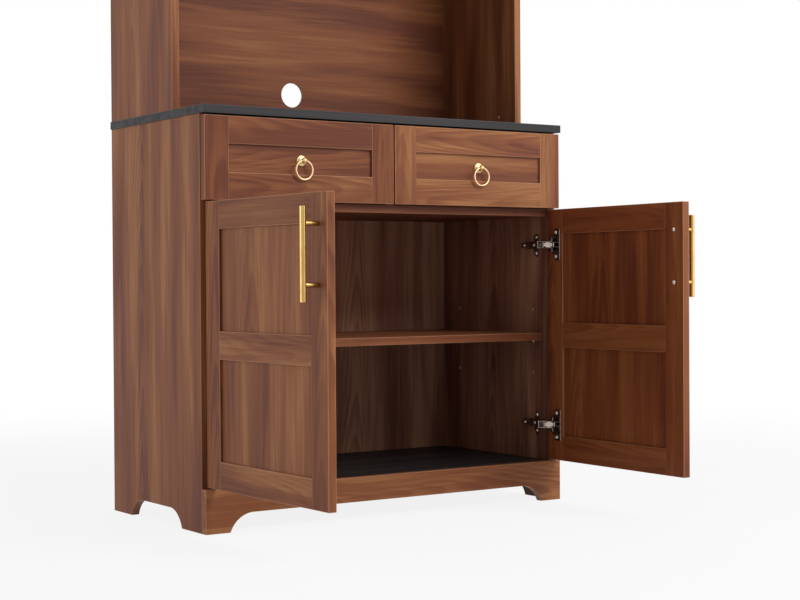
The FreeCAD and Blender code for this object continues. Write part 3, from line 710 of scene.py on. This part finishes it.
# Doors
# Frames of foil-wrapped boards: two stiles, three rails with stub tenons, two thin panels held in grooves.
# Steel cups sit in bores in the hinge stile, and a brass bar on two posts is screwed through the free stile.
base_door_angle = math.radians(89)
stile_width = 0.048
rail_width = 0.049
front_thick = 0.015
front_ease = 0.0011
panel_thick = 0.005
panel_groove = 0.0065
panel_tongue = 0.006
tongue_clear = 0.0001
cup_in = 0.0225
cup_bore_radius = 0.0175
cup_bore_depth = 0.0123
flange_thick = 0.0009
flange_edge = 0.0415
rim_width = 0.0018
rim_proud = 0.0006
rim_half = 0.0305
# the rim bead's pale, half-metallic zinc is a painted highlight along the edge of each cup's flange
rim_highlight_zinc = metal_finish("rim_highlight_zinc", paint(226, 192, 178), paint(198, 164, 150), 0.45, 0.6, metallic=0.5)
# a redder, more saturated copy of the walnut for the fronts' inner faces, painted for their shade
painted_shade_rear_walnut = walnut_finish("walnut_foil_painted_shade_rear", dark=paint(106, 54, 34), middle=paint(130, 71, 40),
                            light=paint(150, 90, 53), highlight_colour=paint(176, 118, 82))
# boards of the fronts drawn darker or lighter than the rest: the left drawer's boards are darkened and the
# right drawer's lower rail lightened, as painted shade and light for light that falls off towards the left;
# the other entries are darker or lighter boards
front_tones_and_painted_shade = {
    "base_left_door_rail_3": -0.20,
    "base_left_door_free_stile": 0.10,
    "left_drawer_front_panel_1": -0.12,
    "left_drawer_front_rail_1": -0.09,
    "left_drawer_front_rail_2": -0.12,
    "left_drawer_front_hinge_stile": -0.12,
    "left_drawer_front_free_stile": -0.18,
    "right_drawer_front_hinge_stile": -0.08,
    "right_drawer_front_rail_1": 0.10,
}
panel_back = (front_thick - panel_thick) / 2
panel_face = panel_back + panel_thick


def front_place(node, side, angle=0.0):
    """The place of a front that stands open by an angle, drawn from its hinge edge inwards, from its back
    face outwards, and up. side is -1 for a left front and 1 for a right one."""
    low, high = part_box(node)
    inwards = Vector((-side * math.cos(angle), -math.sin(angle), 0))
    outwards = Vector((side * math.sin(angle), -math.cos(angle), 0))
    edge_x = high.x if side > 0 else low.x
    corner = Vector((edge_x - outwards.x * front_thick, high.y, low.z))
    return Matrix.Translation(corner) @ Matrix((inwards, outwards, UP)).transposed().to_4x4()


def settled(shape, place):
    """A shape drawn flat, carried to its place."""
    bmesh.ops.transform(shape, matrix=place, verts=shape.verts)
    if place.determinant() < 0:
        bmesh.ops.reverse_faces(shape, faces=shape.faces)
    return shape


def front_bar(name, shape, along, place, body, node):
    """One board of a front. Its inner face gets a redder copy of the walnut, painted for the shade behind the
    open fronts.
    """
    lay_grain(shape, along, name, front_tones_and_painted_shade.get(name, 0.0))
    for face in shape.faces:
        if face.material_index == 0 and face.normal.y < -square_on:
            face.material_index = 2
    return make_piece(name, settled(shape, place), [walnut, raw_board, painted_shade_rear_walnut], body, "walnut", node)


def framed_front(stem, place, width, height, rail_count, body, frame_node, panel_node, bores=()):
    """Stiles, rails and panels of one front, each its own piece."""
    groove_back, groove_face = panel_back - tongue_clear, panel_face + tongue_clear
    opening = (stile_width, width - stile_width)
    tenon = (opening[0] - panel_tongue, opening[1] + panel_tongue)
    stiles = (
        ("hinge_stile", 0.0, stile_width, stile_width - panel_groove, stile_width + overcut, bores),
        ("free_stile", opening[1], width, opening[1] - overcut, opening[1] + panel_groove, ()),
    )
    for part, start, end, groove_start, groove_end, drills in stiles:
        shape = eased_board(Vector((start, 0, 0)), Vector((end, front_thick, height)), front_ease)
        groove = block(Vector((groove_start, groove_back, -overcut)),
                       Vector((groove_end, groove_face, height + overcut)))
        shape = cut_away(shape, [groove] + list(drills))
        front_bar("%s_%s" % (stem, part), shape, ALONG_Z, place, body, frame_node)
    pitch = (height - rail_width) / (rail_count - 1)
    for index in range(rail_count):
        foot, head = index * pitch, index * pitch + rail_width
        shape = eased_board(Vector((tenon[0], 0, foot)), Vector((tenon[1], front_thick, head)), front_ease)
        tools = []
        for start, end in ((tenon[0] - overcut, opening[0]), (opening[1], tenon[1] + overcut)):
            for back, face in ((-overcut, panel_back), (panel_face, front_thick + overcut)):
                cheek_low, cheek_high = (start, back, foot - overcut), (end, face, head + overcut)
                tools.append(block(Vector(cheek_low), Vector(cheek_high)))
        groove_ends = (tenon[0] - overcut, tenon[1] + overcut)
        if index > 0:
            tools.append(block(Vector((groove_ends[0], groove_back, foot - overcut)),
                               Vector((groove_ends[1], groove_face, foot + panel_groove))))
        if index < rail_count - 1:
            tools.append(block(Vector((groove_ends[0], groove_back, head - panel_groove)),
                               Vector((groove_ends[1], groove_face, head + overcut))))
            panel = eased_board(Vector((tenon[0], panel_back, head - panel_tongue)),
                                Vector((tenon[1], panel_face, foot + pitch + panel_tongue)), back_ease)
            along = ALONG_Z if rail_count > 2 else ALONG_X
            front_bar("%s_panel_%d" % (stem, index + 1), panel, along, place, body, panel_node)
        front_bar("%s_rail_%d" % (stem, index + 1), cut_away(shape, tools), ALONG_X, place, body, frame_node)


def front_size(node, angle=0.0):
    """Width and height of a front that stands open by an angle."""
    low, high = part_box(node)
    reach = (high.x - low.x) * math.cos(angle) + (high.y - low.y) * math.sin(angle)
    return reach - front_thick * math.sin(2 * angle), high.z - low.z


doors = []
for level, angle in (("base", base_door_angle), ("hutch", 0.0)):
    for side in ("left", "right"):
        stem = "%s_%s_door" % (level, side)
        place = front_place(stem + "_frame", 1 if side == "right" else -1, angle)
        width, height = front_size(stem + "_frame", angle)
        doors.append((stem, level, place, width, height))
        hinges = (hinge_from_end, height - hinge_from_end)
        bores = [rod(Vector((cup_in, -overcut, z)), -FORWARD, cup_bore_radius, cup_bore_depth + overcut, 48)
                 for z in hinges]
        framed_front(stem, place, width, height, 3, stem, stem + "_frame", stem + "_panels", bores)
        rims = []
        for z in hinges:
            rim_low = Vector((flange_edge - rim_width, -flange_thick - rim_proud, z - rim_half))
            rim_high = Vector((flange_edge, -flange_thick, z + rim_half))
            rims.append(eased_board(rim_low, rim_high, rim_proud / 2))
        make_piece(stem + "_hinge_rims", settled(gathered(rims), place), [rim_highlight_zinc], stem, "hinge_steel")
        dress(stem + "_hinge_cups", dark_nickel_and_groove_shade)
        dress(stem + "_outer_links", dark_nickel_and_groove_shade)
        # the inner link's darker nickel also stands as painted shade between its ribs
        dress(stem + "_inner_links", dark_nickel_and_groove_shade)

# Hinge link ribs
# Each hinge's inner link is a steel pressing with four ribs along the face that shows when the door is open.
# The ribs' paler nickel is a painted highlight, and the link's darker nickel between them painted shade. They
# stiffen the link and turn with it.
link_half_width = 0.0015
rib_sink = 0.0002
rib_proud = 0.0005
rib_ease = 0.00015
outer_rib, outer_rib_run = (0.0036, 0.0050), (0.0056, 0.0141)
middle_rib, middle_rib_run = (0.0008, 0.0023), (0.0024, 0.0170)
for stem, level, place, width, height in doors:
    turn_name = stem.replace("door", "inner_link_turn")
    pivot = next(Vector(joint["pos_m"]) for joint in frame["joints"] if joint["name"] == turn_name)
    link_points = [vert.co for vert in frame["nodes"][stem + "_inner_links"].data.vertices]
    reaches = [Vector((point.x - pivot.x, point.y - pivot.y, 0)) for point in link_points]
    along_link = max(reaches, key=lambda reach: reach.length).normalized()
    outwards = along_link.cross(UP)
    if outwards.y > 0:
        outwards.negate()
    ribs = []
    for z in (hinge_from_end, height - hinge_from_end):
        seat = Vector((pivot.x, pivot.y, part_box(stem + "_frame")[0].z + z))
        link_place = Matrix.Translation(seat) @ Matrix((along_link, outwards, UP)).transposed().to_4x4()
        for (near, far), (start, end) in ((outer_rib, outer_rib_run), (middle_rib, middle_rib_run)):
            for foot, head in ((-far, -near), (near, far)):
                rib = eased_board(Vector((start, link_half_width - rib_sink, foot)),
                                  Vector((end, link_half_width + rib_proud, head)), rib_ease)
                ribs.append(settled(rib, link_place))
    body = stem.replace("door", "inner_links")
    make_piece(stem + "_link_ribs", gathered(ribs), [rib_highlight_nickel], body, "hinge_steel")

# Door screws
# Zinc-plated cross-slotted screws: two hold each hinge cup, and two long ones come through the stile into the
# posts of the pull.
cup_screw_in = 0.028
cup_screw_reach = 0.024
pull_in = 0.0245
pull_from_end = 0.098
pull_post_reach = 0.048
cup_screw = slotted_screw(radius=0.0038, head=0.0020, shank_radius=0.00175, shank=0.010)
pull_screw = slotted_screw(radius=0.004, head=0.0024, shank_radius=0.002, shank=0.023)


def pull_heights(level, height):
    middle = height - pull_from_end if level == "base" else pull_from_end
    return middle - pull_post_reach, middle + pull_post_reach


for stem, level, place, width, height in doors:
    shape = bmesh.new()
    for z in (hinge_from_end, height - hinge_from_end):
        for reach in (-cup_screw_reach, cup_screw_reach):
            add_shape(shape, cup_screw, facing(Vector((cup_screw_in, -flange_thick, z + reach)), FORWARD))
    for z in pull_heights(level, height):
        add_shape(shape, pull_screw, facing(Vector((width - pull_in, 0, z)), FORWARD))
    screws = settled(shape, place)
    make_piece(stem + "_cross_screws", screws, [screw_zinc], stem, "screw_steel", stem + "_screws")

# Bar pulls
# Round bars of drawn brass with eased ends, each on two turned brass posts that stand on the free stile. They
# are brushed, lacquered and held by the long screws from inside.
pull_length = 0.150
pull_bar_radius = 0.005
pull_post_radius = 0.0040
pull_reach = 0.029
pull_ease = 0.0008
post_sink = 0.0008
brass = metal_finish("satin_brass", paint(194, 157, 95), paint(170, 135, 77), 0.22, 0.32)


def eased_rod(start, direction, radius, length, ease, sides=48):
    shape = rod(start, direction, radius, length, sides)
    rims = [edge for edge in shape.edges if edge.calc_face_angle(0) > math.radians(60)]
    return round_edges(shape, rims, ease, 3)


for stem, level, place, width, height in doors:
    heights = pull_heights(level, height)
    bar_foot = sum(heights) / 2 - pull_length / 2
    face = Vector((width - pull_in, front_thick, 0))
    outwards = -FORWARD
    bar_start = face + outwards * pull_reach + UP * bar_foot
    bar = eased_rod(bar_start, UP, pull_bar_radius, pull_length, pull_ease)
    make_piece(stem + "_pull_bar", settled(bar, place), [brass], stem, "brass", stem + "_pull")
    posts = gathered([
        rod(face + UP * z, outwards, pull_post_radius, pull_reach - pull_bar_radius + post_sink, 32)
        for z in heights
    ])
    make_piece(stem + "_pull_posts", settled(posts, place), [brass], stem, "brass", stem + "_pull")

# Drawers
# Framed fronts like the doors', with a flat panel whose grain runs across. Each is screwed to a box of thin
# foil-wrapped boards, with its bottom in a groove all round, and slides on steel rails.
box_wall = 0.012
box_bottom_up = 0.008
box_bottom_thick = 0.004
box_groove = 0.005
for side in ("left", "right"):
    stem = side + "_drawer"
    place = front_place(stem + "_front_frame", 1 if side == "right" else -1)
    width, height = front_size(stem + "_front_frame")
    framed_front(stem + "_front", place, width, height, 2, stem, stem + "_front_frame", stem + "_front_panel")
    low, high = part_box(stem + "_box")
    inside_low = low + Vector((box_wall, box_wall, box_bottom_up))
    inside_high = high - Vector((box_wall, box_wall, 0))
    groove = Vector((box_groove, box_groove, 0))
    floor_low = inside_low - groove
    floor_high = Vector((inside_high.x, inside_high.y, inside_low.z + box_bottom_thick)) + groove
    walls = {
        "left_wall": (low, Vector((inside_low.x, high.y, high.z)), ALONG_Y),
        "right_wall": (Vector((inside_high.x, low.y, low.z)), high, ALONG_Y),
        "front_wall": (Vector((inside_low.x, low.y, low.z)),
                       Vector((inside_high.x, inside_low.y, high.z)), ALONG_X),
        "rear_wall": (Vector((inside_low.x, inside_high.y, low.z)),
                      Vector((inside_high.x, high.y, high.z)), ALONG_X),
    }
    for part, (wall_low, wall_high, along) in walls.items():
        shape = cut_away(eased_board(wall_low, wall_high), [block(floor_low, floor_high)])
        wooden("%s_box_%s" % (stem, part), shape, along, stem + "_box", body=stem)
    bottom = eased_board(floor_low, floor_high, back_ease)
    wooden(stem + "_box_bottom", bottom, ALONG_X, stem + "_box", body=stem)
    dress(stem + "_runners", runner_zinc)

# Ring pulls
# A turned brass rosette with a drilled ball on its stem, screwed to the drawer's panel, and a ring bent from
# brass wire that hangs in the ball.
ball_radius = 0.0054
ball_reach = 0.011
stem_radius = 0.0036
eye_radius = 0.0028
ring_radius = 0.0171
ring_wire_radius = 0.0019
ball_start = math.pi - math.asin(stem_radius / ball_radius)
ball_steps = 14
ring_brass = metal_finish("ring_brass", paint(226, 190, 152), paint(206, 166, 126), 0.40, 0.50)
rosette_brass = metal_finish("rosette_brass", paint(222, 194, 142), paint(186, 154, 98), 0.28, 0.38)
rosette_profile = [
    (0, 0), (0.0100, 0), (0.0100, 0.0011), (0.0095, 0.0019), (0.0084, 0.0024),
    (0.0071, 0.0024), (0.0068, 0.0033), (0.0060, 0.0039), (0.0044, 0.0041), (stem_radius, 0.0047),
]
rosette_profile += [
    (ball_radius * math.sin(ball_start * (1 - step / ball_steps)),
     ball_reach + ball_radius * math.cos(ball_start * (1 - step / ball_steps)))
    for step in range(ball_steps + 1)
]
wire_steps = 20
wire_profile = [
    (ring_radius + ring_wire_radius * math.cos(math.tau * step / wire_steps),
     ring_wire_radius * math.sin(math.tau * step / wire_steps))
    for step in range(wire_steps)
]
for side in ("left", "right"):
    stem = side + "_drawer"
    low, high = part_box(stem + "_ring_plate")
    seat = Vector(((low.x + high.x) / 2, high.y, (low.z + high.z) / 2))
    rosette = settled(turned(rosette_profile, 64), facing(seat, FORWARD))
    ball_middle = seat + FORWARD * ball_reach
    eye = rod(ball_middle - RIGHT * ball_radius * 1.5, RIGHT, eye_radius, ball_radius * 3)
    make_piece(stem + "_rosette", cut_away(rosette, [eye]), [rosette_brass, rosette_brass], stem, "brass",
               stem + "_ring_plate")
    low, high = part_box(stem + "_ring")
    ring = settled(turned(wire_profile, 96, closed=True), facing((low + high) / 2, FORWARD))
    make_piece(stem + "_wire_ring", ring, [ring_brass], stem + "_ring_body", "brass", stem + "_ring")

# Floor and studio light
# A plain pale floor that keeps the cabinet's shadow, and a white room round it. One softbox hangs high in
# front, one stands on the right by the counter, and a larger one stands low on the left.
floor_reach = 9.0
floor_glow = 0.86
shadow_reach = 0.9
room_reach = 2.8
room_fill = 0.5


def seen_directly(tree):
    """1 for what the eye, a mirror or a glass sees, and 0 for light that falls on things."""
    path = lay(tree, "ShaderNodeLightPath").outputs
    shiny = reckon(tree, "MAXIMUM", path["Is Glossy Ray"], path["Is Transmission Ray"])
    return reckon(tree, "MAXIMUM", shiny, path["Is Camera Ray"])


floor_paint, tree, surface = new_finish("pale_floor")
place = lay(tree, "ShaderNodeTexCoord").outputs["Object"]
shade = mixed(tree, stretched(tree, place, (3.0, 3.0, 3.0)), paint(208, 208, 208), paint(216, 216, 216))
tree.links.new(shade, surface.inputs["Base Color"])
surface.inputs["Roughness"].default_value = 0.9
surface.inputs["Specular IOR Level"].default_value = 0.1
glow = lay(tree, "ShaderNodeEmission", {"Color": (1, 1, 1, 1), "Strength": 1.0})
distance = lay(tree, "ShaderNodeVectorMath", {0: place}, operation="LENGTH").outputs["Value"]
whiteness = eased_range(tree, distance, shadow_reach, room_reach, floor_glow, 1.0)
share = reckon(tree, "MULTIPLY", seen_directly(tree), whiteness)
blend = lay(tree, "ShaderNodeMixShader", {0: share, 1: surface.outputs[0], 2: glow.outputs[0]})
tree.links.new(blend.outputs[0], tree.nodes["Material Output"].inputs["Surface"])
shape = bmesh.new()
bmesh.ops.create_grid(shape, x_segments=1, y_segments=1, size=floor_reach)
floor_mesh = bpy.data.meshes.new("studio_floor")
shape.to_mesh(floor_mesh)
shape.free()
floor_mesh.materials.append(floor_paint)
floor = bpy.data.objects.new("studio_floor", floor_mesh)
bpy.context.scene.collection.objects.link(floor)

world = bpy.data.worlds.new("white_room")
world.use_nodes = True
bpy.context.scene.world = world
tree = world.node_tree
fill = reckon(tree, "MULTIPLY_ADD", seen_directly(tree), 1.0 - room_fill, room_fill)
tree.nodes["Background"].inputs["Color"].default_value = (1, 1, 1, 1)
tree.links.new(fill, tree.nodes["Background"].inputs["Strength"])


def softbox(name, place, aim, size, power):
    light = bpy.data.lights.new(name, "AREA")
    light.shape = "RECTANGLE"
    light.size, light.size_y = size
    light.energy = power
    lamp = bpy.data.objects.new(name, light)
    lamp.location = place
    lamp.rotation_euler = (aim - place).to_track_quat("-Z", "Y").to_euler()
    bpy.context.scene.collection.objects.link(lamp)


softbox("front_softbox", place=Vector((1.2, -3.2, 2.9)), aim=Vector((0, 0, 0.6)),
        size=(1.8, 1.4), power=90)
softbox("right_softbox", place=Vector((1.6, -1.75, 0.95)), aim=Vector((0.1, -0.1, 0.75)),
        size=(1.6, 1.6), power=14)
softbox("left_softbox", place=Vector((-3.4, 0.7, 0.7)), aim=Vector((-0.4, -0.2, 0.6)),
        size=(3.0, 2.2), power=41)

# Camera
# It stands in front of the cabinet's left corner, a little under the counter's height. It looks level, so the
# cabinet's upright edges stay upright, through a short telephoto lens.
camera_place = Vector((-1.70049, -2.74269, 0.44181))
camera_yaw = math.radians(-33.9595)
camera_pitch = math.radians(-0.6944)
camera_roll = math.radians(-0.3431)
camera_lens = 73.53
camera_film_width = 36.0
lens = bpy.data.cameras.new("photo_camera")
lens.lens = camera_lens
lens.sensor_width = camera_film_width
camera = bpy.data.objects.new("photo_camera", lens)
turn = Matrix.Rotation(camera_yaw, 4, "Z") @ Matrix.Rotation(math.pi / 2 + camera_pitch, 4, "X")
camera.matrix_world = Matrix.Translation(camera_place) @ turn @ Matrix.Rotation(camera_roll, 4, "Z")
bpy.context.scene.collection.objects.link(camera)
bpy.context.scene.camera = camera
bpy.context.scene.view_settings.view_transform = "Standard"
